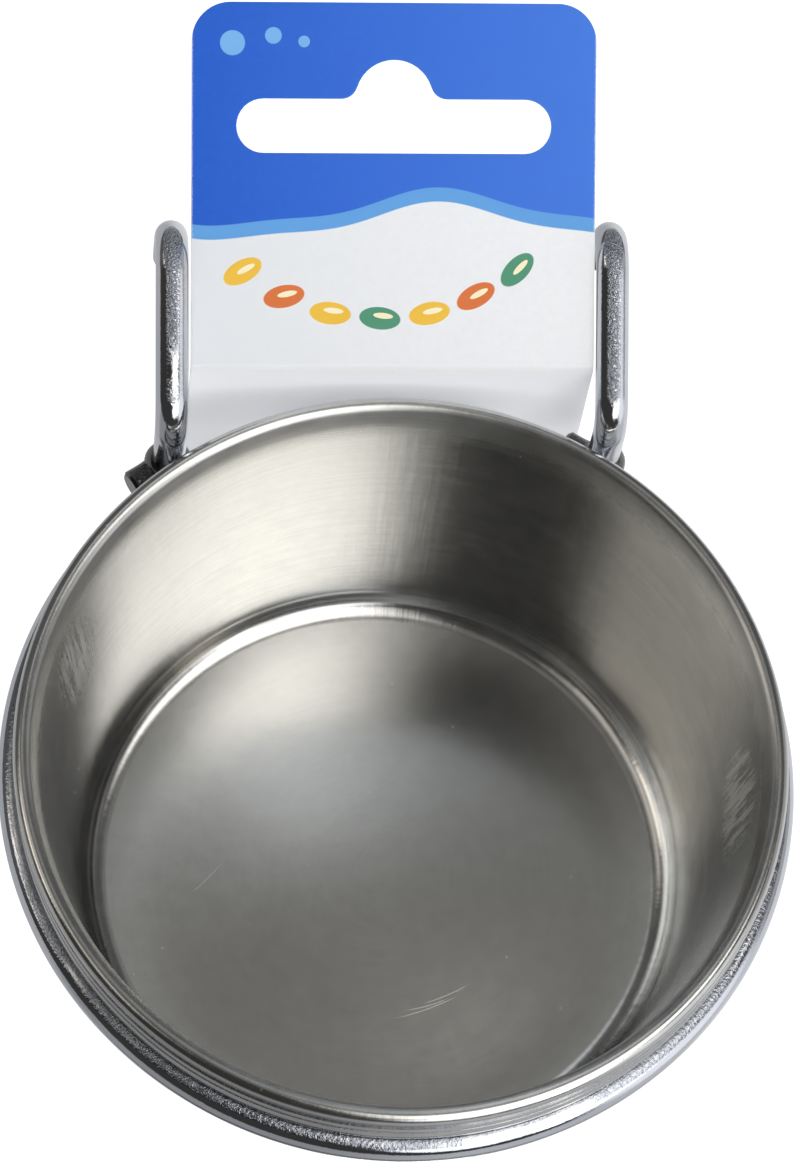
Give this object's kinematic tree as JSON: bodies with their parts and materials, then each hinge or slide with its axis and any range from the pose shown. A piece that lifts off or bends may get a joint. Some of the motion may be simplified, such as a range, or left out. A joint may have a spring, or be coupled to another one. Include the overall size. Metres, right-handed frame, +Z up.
{
  "type": "hook-on feeding bowl",
  "caption": "Steel feeding bowl with a flared lip and a rolled, hemmed rim, loose in a chromed wire ring whose welded hooks hang on a horizontal cage wire, with a folding printed hang card.",
  "frame": {"origin": "on the axis of the horizontal cage wire that the hooks hang on, midway between the hooks", "axes": "+X along the cage wire, +Y away from the bowl, +Z up"},
  "size_m": [0.0954, 0.1349, 0.0677],
  "materials": {
    "bowl_steel": "satin brushed stainless steel",
    "wire_chrome": "bright chromed steel wire",
    "card_white": "white coated board, density stands in for card",
    "card_print": "blue and white printed board, density stands in for card"
  },
  "bodies": {
    "holder": {"holder_ring": "wire_chrome", "left_hook": "wire_chrome", "right_hook": "wire_chrome", "card_panel": "card_white"},
    "cup": {"bowl": "bowl_steel"},
    "flap": {"card_flap": "card_print"}
  },
  "joints": [
    {"name": "bowl_lift", "type": "slide", "parent": "holder", "child": "cup", "axis": [0, 0, 1], "range_m": [0, 0.055]},
    {"name": "card_fold", "type": "hinge", "parent": "holder", "child": "flap", "pos_m": [0, -0.01222, -0.00172], "axis": [1, 0, 0], "range_deg": [-20, 62]}
  ]
}
